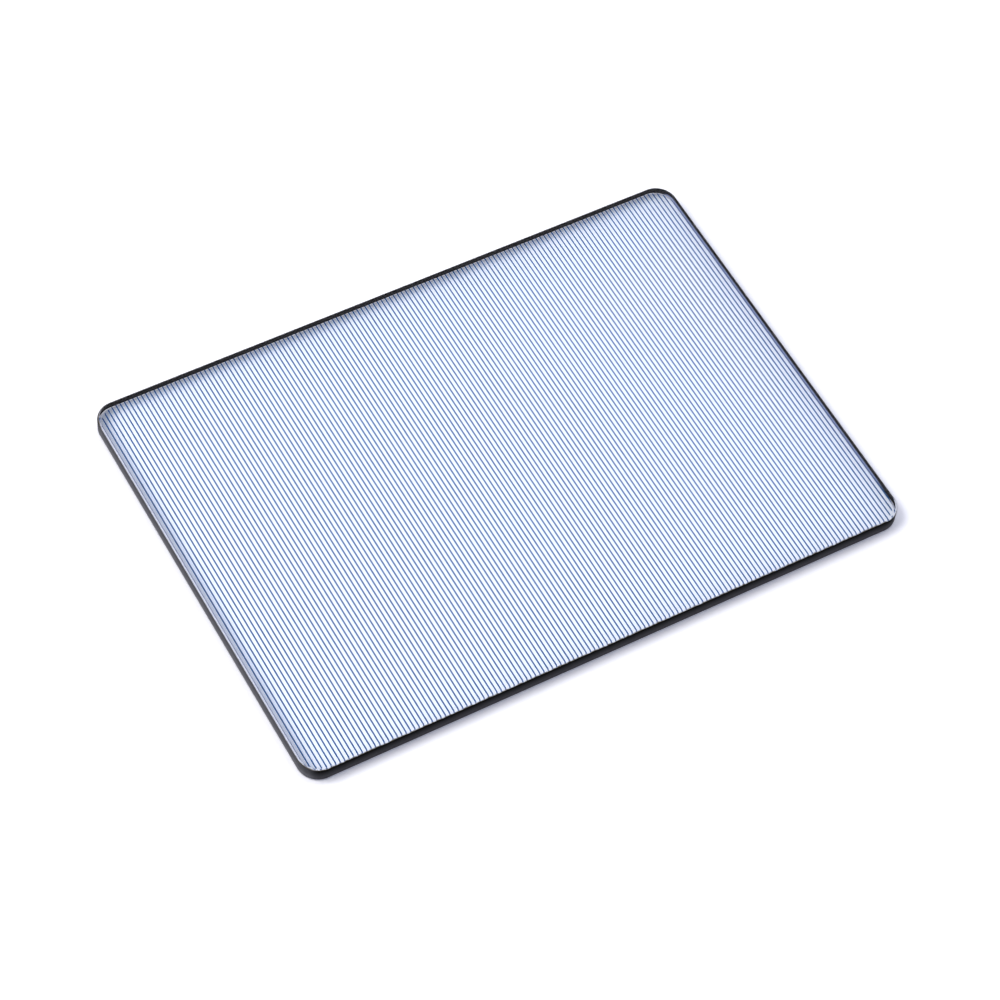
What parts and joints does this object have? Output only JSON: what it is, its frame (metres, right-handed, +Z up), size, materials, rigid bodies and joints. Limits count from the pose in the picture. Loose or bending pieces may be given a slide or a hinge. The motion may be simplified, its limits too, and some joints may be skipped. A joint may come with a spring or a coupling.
{
  "type": "streak filter",
  "caption": "Rectangular laminated glass camera filter with fine parallel blue lines inside, rounded corners, bevelled rims and a black coated edge.",
  "frame": {"origin": "middle of the underside, on the surface that the filter lies on", "axes": "+X along the long side, +Y along the short side and along the lines, +Z up through the glass"},
  "size_m": [0.1436, 0.1016, 0.004],
  "materials": {
    "clear_glass": "polished, with finely ground bevels",
    "blue_line": "even translucent blue",
    "black_edge": "satin paint"
  },
  "bodies": {
    "root": {"front_glass": "clear_glass", "rear_glass": "clear_glass", "streak_lines": "blue_line", "edge_coating": "black_edge"}
  },
  "joints": []
}
